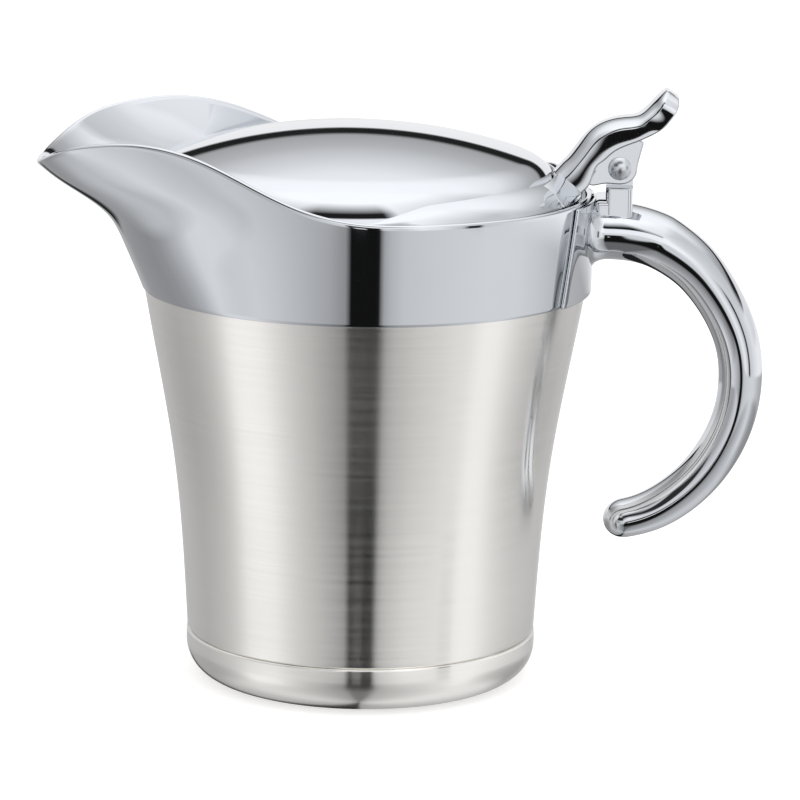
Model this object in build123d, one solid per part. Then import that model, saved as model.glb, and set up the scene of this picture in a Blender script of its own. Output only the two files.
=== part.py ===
from build123d import *
import os
from math import cos, hypot, radians, sin, sqrt, tan

# Insulated sauce jug: a double-walled steel vessel, a chromed collar with a wide spout,
# a curved bar handle and a hinged domed lid with a thumb lever.
# Millimetres and degrees. The origin is the middle of the foot, on the surface it stands on.
# +Z is up, +X points at the handle and the spout points along -X.

# Vessel walls
base_radius = 47.0           # outside of the base cup
base_rounding = 9.3          # rounding under the base cup
base_wall = 0.6
lap_height = 13.4            # the base cup's top edge, where the shell comes out of it
lap_step = 0.2               # the shell stands this far inside the cup there
seam_height = 106.0          # the chromed collar starts here
shell_mouth_radius = 58.7
shell_wall = 0.6
waist_share = 0.32           # share of the flare that is reached half way up
foot_flare = 0.45            # steepness of the flare at its foot and at its mouth, against
mouth_flare = 1.315          # the even slope between them
vacuum_gap = 4.0             # between the shell and the liner
neck_gap = 1.6               # the same gap, where both walls narrow into the neck
neck_step = 4.3              # the shell's neck is this much narrower than its mouth
neck_rise = 18.0
liner_wall = 0.5
liner_rise = 1.6             # underside of the liner, above the lap
liner_rounding = 12.0
fit_clearance = 0.05         # between pieces that are pressed or bonded together
getter_radius = 9.0
getter_thickness = 1.6
port_radius = 1.2            # evacuation port in the inner base
dimple_radius = 7.0
dimple_depth = 1.8

# Collar and spout
collar_proud = 0.5           # the collar stands this much outside the shell at the seam
collar_wall = 1.5
rim_lean = 0.8               # the collar's rim is this much wider than its foot
rim_rise = 26.2              # from the seam to the rim over the handle half
crest_rise = 17.2            # from there to the highest point of each spout wall
crest_share = 0.636          # the crest's place, as a share of the tip's reach
tip_rise = 32.8              # from the seam to the spout's tip
spout_length = 28.0          # from the round rim to the tip
shelf_thickness = 1.6        # ring inside the collar that covers the liner's lip
shelf_overhang = 1.2
seal_thickness = 1.3
# How far the spout reaches beyond the round collar: share of the rise from the seam to the
# tip, and share of the tip's own reach beyond the collar
spout_flare = [
    (0.0, 0.0), (0.16, 0.075), (0.32, 0.155), (0.48, 0.24), (0.63, 0.365),
    (0.78, 0.595), (0.92, 0.85), (1.05, 1.03), (1.2, 1.2), (1.4, 1.36),
]
# The spout's plan: cosine of the angle from its middle, and share of its reach there
spout_plan = [
    (0.0, 0.0), (0.2, 0.015), (0.35, 0.08), (0.48, 0.2), (0.56, 0.32), (0.63, 0.46), (0.7, 0.62),
    (0.76, 0.77), (0.82, 0.88), (0.9, 0.965), (1.0, 1.0),
]

# Handle
handle_bow_radius = 38.55    # middle line of the curved bar
tail_radius = 41.6           # below the turn angle the curve opens to this radius
bow_beyond_rim = 2.0         # its centre, outside the rim and below it
bow_below_rim = 49.2
bar_depth = 11.5             # across the bar, in the plane of the bow
bar_width = 15.0
root_depth = 17.6            # the same two sizes where the bar meets the collar
root_width = 25.0
turn_angle = -20.0           # angles are from the level line through the curve's centre
tip_angle = -72.5            # middle of the bar's round tip
root_start = 15.0            # the bar swells towards its root between these two angles
root_end = 66.0
pad_thickness = 1.0          # saddle pad on the collar
pad_foot_half = 28.0
pad_rim_half = 22.5
pad_below_rim = 0.8
screw_radius = 1.75
screw_length = 11.0
screw_head_radius = 3.2
screw_head_thickness = 1.6
screw_drop = 1.85            # middle of the two screws, below the middle of the root
screw_pitch = 5.8

# Hinge
pin_beyond_rim = 6.9
pin_above_rim = 7.9
pin_radius = 1.6
pin_play = 0.06              # running clearance in the lever's ears
rivet_radius = 3.1
rivet_height = 1.5
ear_outer_half = 8.0
ear_thickness = 2.5
ear_radius = 4.1
washer_thickness = 0.5
washer_radius = 3.4
washer_play = 0.05
post_length = 7.1            # hinge post, along X
post_offset = 0.05           # its middle, behind the pin
post_above_rim = 2.7         # its shoulders, where the narrower knuckle starts
post_corner = 1.2
knuckle_radius = 3.6

# Lid
dome_shift = -4.0            # the dome's axis lies this far towards the spout
dome_inset = 2.7             # the dome is this much narrower than the rim
dome_drop = 1.2              # its edge hangs this far below the rim
dome_rise = 18.2             # its height
dome_crown_radius = 152.0
dome_knuckle = 10.3          # width of the bend round the crown
lid_wall = 0.8
flange_inset = 3.0           # outer edge of the sloping flange, inside the rim's radius
flange_width = 6.5
flange_rise = 5.2
flange_bulge = 0.5
flange_half_angle = 80.0     # the flange runs this far to each side of the handle
plug_inset = 7.2             # pressed part of the lid's underside, inside the rim's radius
plug_shift = -1.6
rest_gap = 0.3               # the plug stops this far above the shelf

# Thumb lever
lever_half_width = 8.5
lever_crown = 4.2
wing_half_angle = 24.0
wing_thickness = 1.1
wing_rise = 0.4              # the wings start this far above the flange's edge
lever_screw_radius = 1.3
lever_screw_head = 2.0
lever_screw_spread = 4.6
lever_screw_rise = 2.6       # above the flange's edge
lever_screw_inset = 8.2      # seats inside the lid, inside the flange's radius
lever_screw_length = 8.4
# Stations along the lever, from the hinge pin: top edge (x, z), bottom edge (x, z), share of
# the half width and share of the crown
lever_stations = [
    ((-14.7, -4.0), (-10.7, -7.1), 1.0, 0.95),
    ((-12.5, -2.0), (-7.9, -4.5), 1.0, 1.02),
    ((-10.8, 0.2), (-6.6, -0.9), 1.0, 1.05),
    ((-8.3, 3.5), (-4.6, 1.7), 1.0, 1.0),
    ((-5.9, 6.6), (-2.8, 3.3), 1.0, 0.95),
    ((-2.9, 8.8), (-0.9, 4.8), 1.0, 0.88),
    ((1.5, 10.1), (2.5, 6.4), 1.0, 0.82),
    ((5.1, 10.9), (6.1, 7.9), 1.0, 0.8),
    ((7.7, 12.8), (10.3, 10.2), 1.0, 0.76),
    ((10.1, 16.1), (13.5, 13.7), 0.97, 0.58),
    ((11.5, 18.8), (15.0, 16.5), 0.82, 0.32),
    ((12.3, 20.2), (15.1, 18.3), 0.52, 0.15),
]

# Places that follow from the sizes above
shell_foot_radius = base_radius - lap_step
flare = shell_mouth_radius - shell_foot_radius
shell_waist_radius = shell_foot_radius + waist_share * flare
shell_waist_height = (lap_height + seam_height) / 2
even_slope = flare / (seam_height - lap_height)
cup_inside = base_radius - base_wall
shell_foot_inside = cup_inside - fit_clearance - shell_wall
neck_radius = shell_mouth_radius - neck_step
neck_top = seam_height + neck_rise
neck_inside = neck_radius - shell_wall - neck_gap - liner_wall
liner_floor = lap_height + liner_rise
collar_foot_radius = shell_mouth_radius + collar_proud
rim_radius = collar_foot_radius + rim_lean
rim_height = seam_height + rim_rise
rim_crest_height = rim_height + crest_rise
tip_height = seam_height + tip_rise
tip_reach = rim_radius + spout_length
rim_crest_reach = crest_share * tip_reach
shelf_hole_radius = neck_inside - shelf_overhang
shelf_top = neck_top + liner_wall + seal_thickness + shelf_thickness
handle_bow_x = rim_radius + bow_beyond_rim
handle_bow_z = rim_height - bow_below_rim
root_middle = handle_bow_z + handle_bow_radius
screw_heights = [root_middle - screw_drop - screw_pitch / 2, root_middle - screw_drop + screw_pitch / 2]
pin_x = rim_radius + pin_beyond_rim
pin_z = rim_height + pin_above_rim
post_middle = pin_x + post_offset
post_shoulder = rim_height + post_above_rim
ear_inner_half = ear_outer_half - ear_thickness
knuckle_half = ear_inner_half - washer_thickness - 2 * washer_play
dome_radius = rim_radius - dome_inset
dome_edge = rim_height - dome_drop
dome_height = dome_edge + dome_rise
dome_knuckle_start = dome_radius - dome_knuckle
flange_radius = rim_radius - flange_inset
flange_edge = rim_height
flange_top_radius = flange_radius - flange_width
flange_top = flange_edge + flange_rise
plug_radius = rim_radius - plug_inset
plug_bottom = shelf_top + rest_gap
lever_screw_height = flange_edge + lever_screw_rise
lever_screw_seat = flange_radius - lever_screw_inset
far = 400.0                  # longer than anything on the jug


def at(x, z):
    """A point in the jug's middle plane."""
    return Vector(x, 0, z)


def outline(*edges):
    """The face inside a closed chain of edges in the middle plane."""
    return Face(Wire([edge for piece in edges for edge in piece.edges()]))


def turned(*edges):
    """A body turned about the jug's axis."""
    return revolve(outline(*edges), Axis.Z)


def wall_curve(inset, bottom=lap_height, top=seam_height):
    """The flare of the outer wall, moved inwards by inset."""
    points = [
        at(shell_foot_radius - inset, bottom),
        at(shell_waist_radius - inset, shell_waist_height),
        at(shell_mouth_radius - inset, top),
    ]
    return Spline(points, tangents=[at(foot_flare * even_slope, 1), at(mouth_flare * even_slope, 1)])


def chain(*points):
    return Polyline(*[at(x, z) for x, z in points])


def ring(inner, outer, bottom, top):
    """A flat ring about the jug's axis."""
    return turned(chain((inner, bottom), (outer, bottom), (outer, top), (inner, top), (inner, bottom)))


def disc(radius, bottom, top, x=0.0):
    return Pos(x, 0, bottom) * extrude(Circle(radius), top - bottom)


def make_base_cup():
    """Bottom pan with a rounded edge, lapped over the shell's foot."""
    flat = base_radius - base_rounding
    inner_rounding = base_rounding - base_wall
    lip = lap_height - 0.6
    outer_bend = CenterArc((flat, base_rounding), base_rounding, -90, 90)
    inner_bend = CenterArc((flat, base_rounding), inner_rounding, -90, 90)
    upright = Plane.XZ
    return turned(
        chain((0, 0), (flat, 0)),
        upright * outer_bend,
        chain((base_radius, base_rounding), (base_radius, lip - 0.3), (base_radius - 0.3, lip)),
        chain((base_radius - 0.3, lip), (cup_inside, lip), (cup_inside, base_rounding)),
        upright * inner_bend,
        chain((flat, base_wall), (0, base_wall), (0, 0)),
    )


def make_outer_shell():
    """Flared outer wall, stepped in at the foot for the base cup and at the top for the neck."""
    foot = shell_foot_inside + shell_wall
    shoulder = seam_height + 2.0
    neck_bore = neck_radius - shell_wall
    mouth_inside = shell_mouth_radius - shell_wall
    return turned(
        chain((shell_foot_inside, base_rounding), (foot, base_rounding), (foot, lap_height - 0.5)),
        Line(at(foot, lap_height - 0.5), at(shell_foot_radius, lap_height)),
        wall_curve(0),
        chain(
            (shell_mouth_radius, seam_height), (neck_radius, shoulder), (neck_radius, neck_top),
            (neck_bore, neck_top), (neck_bore, shoulder - shell_wall),
            (mouth_inside, seam_height - shell_wall),
        ),
        wall_curve(shell_wall, bottom=lap_height + 0.3, top=seam_height - shell_wall),
        chain(
            (shell_foot_radius - shell_wall, lap_height + 0.3), (shell_foot_inside, lap_height - 0.3),
            (shell_foot_inside, base_rounding),
        ),
    )


def make_inner_base():
    """Structural bottom of the outer wall, dimpled around the evacuation port."""
    rim = shell_foot_inside - fit_clearance
    top = lap_height - 2.0
    under = top - shell_wall
    return turned(
        chain(
            (port_radius, under - dimple_depth), (dimple_radius, under), (rim - shell_wall, under),
            (rim - shell_wall, base_rounding), (rim, base_rounding), (rim, top), (dimple_radius, top),
            (port_radius, top - dimple_depth), (port_radius, under - dimple_depth),
        )
    )


def make_port_bead():
    """Solder bead that closes the port from below."""
    seat = lap_height - 2.0 - shell_wall - dimple_depth
    bead = port_radius * 2.0
    dome = Pos(0, 0, seat) * Sphere(bead) & Pos(0, 0, seat - bead) * Cylinder(bead, 2 * bead)
    stem = disc(port_radius - fit_clearance, seat - 0.2, seat + shell_wall)
    return dome + stem


def make_inner_liner():
    """Drawn vessel that holds the sauce, with a lip over the shell's neck."""
    inset = shell_wall + vacuum_gap
    start = liner_floor + liner_rounding
    share = (start - lap_height) / (shell_waist_height - lap_height)
    start_radius = shell_foot_radius + (shell_waist_radius - shell_foot_radius) * share ** 1.2 - inset
    top = seam_height - 3.0
    mouth = shell_mouth_radius - inset - 0.5
    neck = neck_inside + liner_wall
    waist = shell_waist_radius - inset
    lip_top = neck_top + liner_wall

    def side(offset):
        points = [at(start_radius - offset, start), at(waist - offset, shell_waist_height),
                  at(mouth - offset, top)]
        return Spline(points, tangents=[at(0.0, 1), at(mouth_flare * even_slope, 1)])

    def bend(offset):
        centre = (start_radius - liner_rounding, start)
        return Plane.XZ * CenterArc(centre, liner_rounding - offset, -90, 90)

    flat = start_radius - liner_rounding
    return turned(
        chain((0, liner_floor), (flat, liner_floor)),
        bend(0),
        side(0),
        chain((mouth, top), (neck, seam_height + 4.0), (neck, neck_top), (neck_radius, neck_top),
              (neck_radius, lip_top), (neck - liner_wall, lip_top),
              (neck - liner_wall, seam_height + 4.0), (mouth - liner_wall, top)),
        side(liner_wall),
        bend(liner_wall),
        chain((flat, liner_floor + liner_wall), (0, liner_floor + liner_wall), (0, liner_floor)),
    )


def make_getter():
    """Pellet tacked under the liner, which takes up stray gas in the gap."""
    return disc(getter_radius, liner_floor - getter_thickness, liner_floor)


def make_collar_seal():
    """Silicone ring between the liner's lip and the collar's shelf."""
    bottom = neck_top + liner_wall
    return ring(neck_inside, neck_radius, bottom, bottom + seal_thickness)


def collar_plan(share, inset=0.0):
    """Height, side radius and spout reach of the collar at a share of the rise to the tip."""
    rise = tip_height - seam_height
    side = collar_foot_radius + (rim_radius - collar_foot_radius) * min(share / 0.8, 1.0)
    lip = dict(spout_flare)[share] * (tip_reach - collar_foot_radius)
    return seam_height + share * rise, side - inset, max(side, collar_foot_radius + lip) - inset


def collar_section(share, inset, lean):
    """Half circle at the handle side, and the spout's outline grown out of it at the other."""
    height, side, reach = collar_plan(share, inset)
    beyond = reach - side - inset * (lean - 1.0)
    spout_side = []
    for ahead, grown in spout_plan:
        spout_side.append((-side * ahead - beyond * grown, side * sqrt(1.0 - ahead * ahead)))
    spout_side += [(x, -y) for x, y in reversed(spout_side[:-1])]
    round_half = CenterArc((0, 0), side, -90, 180)
    spout_half = Spline(spout_side, tangents=[(-1, 0), (1, 0)])
    return Pos(0, 0, height) * Face(Wire([round_half, spout_half]))


def spout_lean(index):
    """Length of the spout's slanting front per unit of height."""
    low = spout_flare[max(index - 1, 0)]
    high = spout_flare[min(index + 1, len(spout_flare) - 1)]
    rise = (high[0] - low[0]) * (tip_height - seam_height)
    run = (high[1] - low[1]) * (tip_reach - collar_foot_radius)
    return hypot(1.0, run / rise)


def collar_body(inset):
    """The collar's outer form, or the hollow in it when inset by the wall."""
    sections = [
        collar_section(share, inset, spout_lean(index))
        for index, (share, _) in enumerate(spout_flare)
    ]
    body = loft(sections)
    if inset > 0:
        height, side, _ = collar_plan(0.0, inset)
        body += disc(side, height - 1.0, height + 0.01)
    return body


def rim_cut():
    """Everything under the collar's wave-shaped rim."""
    crest = rim_crest_height
    climb = crest - rim_height
    points = [
        at(rim_radius / 3, rim_height),
        at(0, rim_height + 0.04 * climb),
        at(-0.25 * rim_crest_reach, rim_height + 0.21 * climb),
        at(-0.5 * rim_crest_reach, rim_height + 0.54 * climb),
        at(-0.75 * rim_crest_reach, rim_height + 0.87 * climb),
        at(-rim_crest_reach, crest),
        at(-0.6 * rim_crest_reach - 0.4 * tip_reach, crest - 0.11 * (crest - tip_height)),
        at(-0.25 * rim_crest_reach - 0.75 * tip_reach, crest - 0.46 * (crest - tip_height)),
        at(-tip_reach - fit_clearance, tip_height),
    ]
    floor = seam_height - rim_rise
    end = points[-1]
    wave = outline(
        Spline(points, tangents=[at(-1, 0), at(-0.72, -1)]),
        Polyline(end, at(-far, end.Z), at(-far, floor), at(far, floor), at(far, rim_height),
                 at(rim_radius / 3, rim_height)),
    )
    return extrude(wave, far / 2, both=True)


def shoulder_solid(clearance):
    """The shell's shoulder, which the collar's foot is relieved for."""
    mouth = shell_mouth_radius + clearance
    neck = neck_radius + clearance
    low = seam_height - 2.0
    step = seam_height + 2.0
    return turned(
        chain((0, low), (mouth, low), (mouth, seam_height), (neck, step), (0, step), (0, low))
    )


def make_spout_collar():
    """Thin-walled collar with the spout and an inner shelf over the liner's lip."""
    under = rim_cut()
    hollow = collar_body(collar_wall)
    shelf = disc(far / 4, shelf_top - shelf_thickness, shelf_top) - disc(
        shelf_hole_radius, shelf_top - 2 * shelf_thickness, shelf_top + shelf_thickness
    )
    wall = (collar_body(0.0) - hollow) & under
    wall -= shoulder_solid(fit_clearance)
    holes = [screw_at(height, screw_radius + fit_clearance, 2 * screw_length)
             for height in screw_heights]
    collar = wall + (shelf & hollow)
    for hole in holes:
        collar -= hole
    return collar


def screw_at(height, radius, length):
    """A level cylinder along +X that starts inside the collar's wall."""
    start = collar_foot_radius - collar_wall - 1.0
    return Pos(start, 0, height) * Rot(0, 90, 0) * extrude(Circle(radius), length)


def bow_point(angle, reach):
    """A point at an angle from the level line through the bow's centre."""
    turn = radians(angle)
    return at(handle_bow_x + reach * cos(turn), handle_bow_z + reach * sin(turn))


def tail_point(angle):
    """A point on the lower, more open part of the bar's middle line."""
    turn = radians(angle)
    middle = bow_point(turn_angle, handle_bow_radius - tail_radius)
    return middle + at(tail_radius * cos(turn), tail_radius * sin(turn))


def bar_section(centre, along, depth, width):
    """Oval section across the bar."""
    plane = Plane(origin=centre, x_dir=(0, 1, 0), z_dir=along)
    return plane * Face(Wire([Ellipse(width / 2, depth / 2).edge()]))


def bow_section(angle, depth, width):
    """Section of the bow. Its inner side keeps one radius while the bar thickens."""
    turn = radians(angle)
    centre = bow_point(angle, handle_bow_radius + (depth - bar_depth) / 2)
    return bar_section(centre, at(-sin(turn), cos(turn)), depth, width)


def handle_bar():
    """The bar: a rounded tip, an even curve, and a root that swells into the collar."""
    inward_axis = (0, -1, 0)
    bow_axis = Axis(at(handle_bow_x, handle_bow_z), inward_axis)
    tail_axis = Axis(bow_point(turn_angle, handle_bow_radius - tail_radius), inward_axis)
    start = radians(tip_angle)
    foot = bar_section(tail_point(tip_angle), at(-sin(start), cos(start)), bar_depth, bar_width)
    curve = revolve(foot, tail_axis, turn_angle - tip_angle)
    curve += revolve(bow_section(turn_angle, bar_depth, bar_width), bow_axis, root_start - turn_angle)
    ball = scale(Sphere(bar_depth / 2), by=(1, bar_width / bar_depth, 1))
    outer_half = ball & Pos(0, 0, -bar_width / 2) * Box(2 * bar_width, 2 * bar_width, bar_width)
    tip = Pos(*tail_point(tip_angle)) * Rot(0, -tip_angle, 0) * outer_half
    swell = [bow_section(root_start, bar_depth, bar_width)]
    for share in (1 / 3, 2 / 3):
        grown = share * share
        swell.append(bow_section(
            root_start + share * (root_end - root_start),
            bar_depth + 0.55 * share * (root_depth - bar_depth),
            bar_width + 0.45 * grown * (root_width - bar_width),
        ))
    inward = (-1, 0, 0)
    near_root = at(handle_bow_x + 0.65 * bar_depth, root_middle + 0.09 * bar_depth)
    in_collar = at(rim_radius - 3 * collar_wall, root_middle + 0.09 * bar_depth)
    swell.append(bar_section(near_root, inward, root_depth * 0.89, root_width * 0.84))
    swell.append(bar_section(in_collar, inward, root_depth, root_width * 1.12))
    return curve + tip + loft(swell)


def saddle_pad():
    """Thin pad wrapped on the collar under the root of the bar."""
    top = rim_height - pad_below_rim
    slope = rim_lean / (0.8 * tip_rise)
    foot = collar_foot_radius + pad_thickness
    shell = turned(
        chain((0, seam_height), (foot, seam_height), (foot + slope * (top - seam_height), top), (0, top),
              (0, seam_height))
    )
    front = Plane.YZ * Polyline(
        (-pad_foot_half, seam_height), (pad_foot_half, seam_height), (pad_rim_half, top),
        (-pad_rim_half, top), (-pad_foot_half, seam_height),
    )
    return shell & extrude(Face(Wire(front)), far / 4, dir=(1, 0, 0))


def hinge_post():
    """Block on the handle's root with the narrower knuckle that holds the pin."""
    block = Pos(post_middle, 0, root_middle) * extrude(
        RectangleRounded(post_length, 2 * ear_outer_half, post_corner), post_shoulder - root_middle
    )
    knuckle = Pos(post_middle, 0, root_middle) * extrude(
        Rectangle(post_length, 2 * knuckle_half), pin_z - root_middle
    )
    barrel = Pos(pin_x, knuckle_half, pin_z) * Rot(90, 0, 0) * extrude(
        Circle(knuckle_radius), 2 * knuckle_half
    )
    return block + knuckle + barrel


def cross_bore(radius, half_length):
    """A cylinder along the hinge axis."""
    return Pos(pin_x, half_length, pin_z) * Rot(90, 0, 0) * extrude(Circle(radius), 2 * half_length)


def make_handle():
    """Handle casting: saddle pad, curved bar and hinge post."""
    casting = handle_bar() + saddle_pad() + hinge_post()
    casting -= collar_body(0.0) & rim_cut()
    casting -= disc(rim_radius, seam_height - 1.0, far)
    casting -= cross_bore(pin_radius, ear_outer_half)
    for height in screw_heights:
        casting -= screw_at(height, screw_radius, screw_length)
    return casting


def make_handle_screws():
    """Two screws from inside the collar into the handle's root."""
    screws = []
    for height in screw_heights:
        inside = collar_foot_radius - collar_wall - fit_clearance
        shank = screw_at(height, screw_radius - fit_clearance, screw_length)
        head = Pos(inside - screw_head_thickness, 0, height) * Rot(0, 90, 0) * extrude(
            Circle(screw_head_radius), screw_head_thickness
        )
        screws.append(shank + head)
    return screws


def make_hinge_pin():
    """Rivet with a domed head at each end, fast in the knuckle."""
    shank = cross_bore(pin_radius, ear_outer_half + 0.2)
    ball = (rivet_radius ** 2 + rivet_height ** 2) / (2 * rivet_height)
    seat = ear_outer_half + 0.1
    pin = shank
    for side in (-1, 1):
        centre = side * (seat + rivet_height - ball)
        cap = Pos(pin_x, centre, pin_z) * Sphere(ball)
        keep = Pos(pin_x, side * (seat + far / 2), pin_z) * Box(far, far, far)
        pin += cap & keep
    return pin


def make_hinge_washers():
    """Thin washers that keep the ears off the knuckle."""
    washers = []
    for side in (-1, 1):
        start = side * (knuckle_half + washer_play)
        flat = Circle(washer_radius) - Circle(pin_radius + pin_play)
        washer = extrude(flat, washer_thickness)
        turn = Rot(-90, 0, 0) if side > 0 else Rot(90, 0, 0)
        washers.append(Pos(pin_x, start, pin_z) * turn * washer)
    return washers


def dome_curve(inset):
    """Half profile of the dome from its top to its lower edge: a flat crown, then a bend."""
    crown = dome_crown_radius - inset
    centre_z = dome_height - dome_crown_radius
    slope = dome_knuckle_start / dome_crown_radius
    bend_radius = (dome_radius - dome_knuckle_start) / (1.0 - slope)
    rise = sqrt(1.0 - slope ** 2)
    bend_x = dome_radius - bend_radius
    bend_z = centre_z + (dome_crown_radius - bend_radius) * rise
    bend = bend_radius - inset
    drop = dome_edge - bend_z
    edge_x = bend_x + sqrt(bend ** 2 - drop ** 2)
    half = slope / 2.0
    mid_share = 0.5 * (slope + (edge_x - bend_x) / bend)
    crown_arc = ThreePointArc(
        at(0, centre_z + crown),
        at(crown * half, centre_z + crown * sqrt(1.0 - half ** 2)),
        at(crown * slope, centre_z + crown * rise),
    )
    bend_arc = ThreePointArc(
        at(crown * slope, centre_z + crown * rise),
        at(bend_x + bend * mid_share, bend_z + bend * sqrt(1.0 - mid_share ** 2)),
        at(edge_x, dome_edge),
    )
    return [crown_arc, bend_arc], edge_x


def dome_solid(inset):
    edges, edge_x = dome_curve(inset)
    top = edges[0] @ 0
    body = turned(*edges, Polyline(at(edge_x, dome_edge), at(0, dome_edge), top))
    return Pos(dome_shift, 0, 0) * body


def flange_solid(lift=0.0):
    """The lid's sloping rear flange as a full body under its outer surface."""
    middle = at((flange_radius + flange_top_radius) / 2 + flange_bulge + lift,
                (flange_edge + flange_top) / 2 + flange_bulge + lift)
    outer = at(flange_radius, flange_edge + lift)
    inner = at(flange_top_radius, flange_top + lift)
    bottom = flange_edge - lid_wall
    return turned(
        ThreePointArc(outer, middle, inner),
        Polyline(inner, at(0, flange_top + lift), at(0, bottom), at(flange_radius, bottom), outer),
    )


def flange_shell():
    """The flange itself: a sloping strip of even thickness on the handle's side."""
    outer = at(flange_radius, flange_edge)
    inner = at(flange_top_radius, flange_top)
    crown = (outer + inner) * 0.5 + at(flange_bulge, flange_bulge)
    drop = at(-0.6 * lid_wall, -lid_wall)
    strip = outline(
        ThreePointArc(outer, crown, inner),
        Polyline(inner, inner + drop),
        ThreePointArc(inner + drop, crown + drop, outer + drop),
        Polyline(outer + drop, outer),
    )
    return revolve(Rot(0, 0, -flange_half_angle) * strip, Axis.Z, 2 * flange_half_angle)


def lever_rods(radius, start, length):
    """Two level cylinders, one for each lever screw."""
    rods = []
    for side in (-1, 1):
        place = Pos(start, side * lever_screw_spread, lever_screw_height) * Rot(0, 90, 0)
        rods.append(place * extrude(Circle(radius), length))
    return rods


def make_lid_dome():
    """Domed outer skin of the lid with the flange behind it."""
    hollow = dome_solid(lid_wall)
    lid = dome_solid(0.0) + flange_shell()
    lid -= hollow
    for boss in lever_rods(lever_screw_head + fit_clearance, lever_screw_seat, lever_screw_length):
        lid += boss & dome_solid(lid_wall / 2)
    for bore in lever_rods(lever_screw_radius + fit_clearance, lever_screw_seat - lid_wall, far):
        lid -= bore
    return lid


def make_lid_pan():
    """Flat underside of the lid with a pressed plug that reaches down to the shelf."""
    plate = disc(dome_radius, dome_edge, dome_edge + lid_wall, x=dome_shift)
    plate &= dome_solid(lid_wall + fit_clearance)
    plate -= disc(plug_radius - lid_wall, dome_edge - 1, dome_edge + 3, x=plug_shift)
    tub = disc(plug_radius, plug_bottom, dome_edge + lid_wall, x=plug_shift)
    tub -= disc(plug_radius - lid_wall, plug_bottom + lid_wall, dome_edge + 3, x=plug_shift)
    return plate + tub


def lever_section(station):
    """Section of the lever: flat bottom, upright sides and a crowned top."""
    (top_x, top_z), (low_x, low_z), width_share, crown_share = station
    half = lever_half_width * width_share
    height = hypot(top_x - low_x, top_z - low_z)
    crown = lever_crown * crown_share
    up = at(top_x - low_x, top_z - low_z) * (1.0 / height)
    foot = at(pin_x + low_x, pin_z + low_z)
    plane = Plane(origin=foot, x_dir=(0, 1, 0), z_dir=Vector(0, 1, 0).cross(up))
    edges = [
        Line((-half, 0), (half, 0)),
        Line((half, 0), (half, height)),
        ThreePointArc((half, height), (0, height + crown), (-half, height)),
        Line((-half, height), (-half, 0)),
    ]
    return plane * Face(Wire(edges))


def lever_ears():
    """Two plates that hang from the lever and turn on the pin."""
    under = [at(pin_x + low[0], pin_z + low[1]) for _, low, _, _ in lever_stations[2:8]]
    above = [at(pin_x + high[0], pin_z + high[1]) for high, _, _, _ in lever_stations[3:7]]
    around = [
        at(pin_x + ear_radius * cos(radians(turn)), pin_z + ear_radius * sin(radians(turn)))
        for turn in (-10, 220)
    ]
    blade = Polyline(under[0], *[(low + high) * 0.5 for low, high in zip(under[1:5], above)], under[5],
                     around[0], around[1], under[0])
    plate = Face(Wire(blade.edges()))
    ears = []
    for start in (ear_inner_half, -ear_outer_half):
        flat = Pos(0, start, 0) * extrude(plate, ear_thickness, dir=(0, 1, 0))
        boss = Pos(pin_x, start + ear_thickness, pin_z) * Rot(90, 0, 0) * extrude(
            Circle(ear_radius), ear_thickness
        )
        ears.append(flat + boss)
    return ears[0] + ears[1]


def lever_wings():
    """Thin wings of the lever's foot, wrapped on the lid's rear flange."""
    low = flange_edge + wing_rise
    cover = flange_solid(wing_thickness) & Pos(0, 0, low + far / 2) * Box(far, far, far)
    reach = flange_radius + wing_thickness
    inner = reach / 2
    spread = (reach - inner) * 2 * tan(radians(wing_half_angle))
    wedge = Polyline((inner, 0), (reach, -spread), (reach, spread), (inner, 0))
    sector = Pos(0, 0, flange_edge) * extrude(Face(Wire(wedge)), flange_top - flange_edge)
    return cover & sector


def make_lid_lever():
    """Thumb lever casting: S-shaped crowned arm, foot, wings and ears."""
    arm = loft([lever_section(station) for station in lever_stations])
    lever = arm + lever_wings() + lever_ears()
    lever -= dome_solid(0.0)
    lever -= flange_solid()
    lever -= cross_bore(pin_radius + pin_play, 2 * ear_outer_half)
    for bore in lever_rods(lever_screw_radius, lever_screw_seat, lever_screw_length):
        lever -= bore
    return lever


def make_lever_screws():
    """Two screws from inside the lid into the lever's foot."""
    shanks = lever_rods(lever_screw_radius - fit_clearance, lever_screw_seat, lever_screw_length)
    heads = lever_rods(lever_screw_head, lever_screw_seat - lid_wall, lid_wall)
    return [shank + head for shank, head in zip(shanks, heads)]


def save(name, shape):
    """Write one node. A list is a group of separate solids."""
    solids = [s for piece in (shape if isinstance(shape, list) else [shape]) for s in piece.solids()]
    node = Compound(children=solids) if len(solids) > 1 else solids[0]
    node.label = name
    export_step(node, f"parts/{name}.step")


os.makedirs("parts", exist_ok=True)
save("base_cup", make_base_cup())
save("outer_shell", make_outer_shell())
save("inner_base", make_inner_base())
save("port_bead", make_port_bead())
save("inner_liner", make_inner_liner())
save("getter", make_getter())
save("collar_seal", make_collar_seal())
save("spout_collar", make_spout_collar())
save("handle", make_handle())
save("handle_screws", make_handle_screws())
save("hinge_pin", make_hinge_pin())
save("hinge_washers", make_hinge_washers())
save("lid_dome", make_lid_dome())
save("lid_pan", make_lid_pan())
save("lid_lever", make_lid_lever())
save("lever_screws", make_lever_screws())
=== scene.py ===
"""Insulated sauce jug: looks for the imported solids.

A brushed double-walled body in a lapped base cup, a chromed collar with a wide spout, a
curved bar handle and a hinged domed lid with a thumb lever. Lengths in the code are
millimetres; meshes are turned to metres when a piece is finished. The spout points along -X.
"""
from bisect import bisect_right
from math import asin, atan2, cos, degrees, hypot, pi, radians, sin, sqrt, tan
from types import SimpleNamespace

import bmesh
import bpy
from bpy.props import FloatProperty, FloatVectorProperty, PointerProperty
from mathutils import Matrix, Vector


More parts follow.
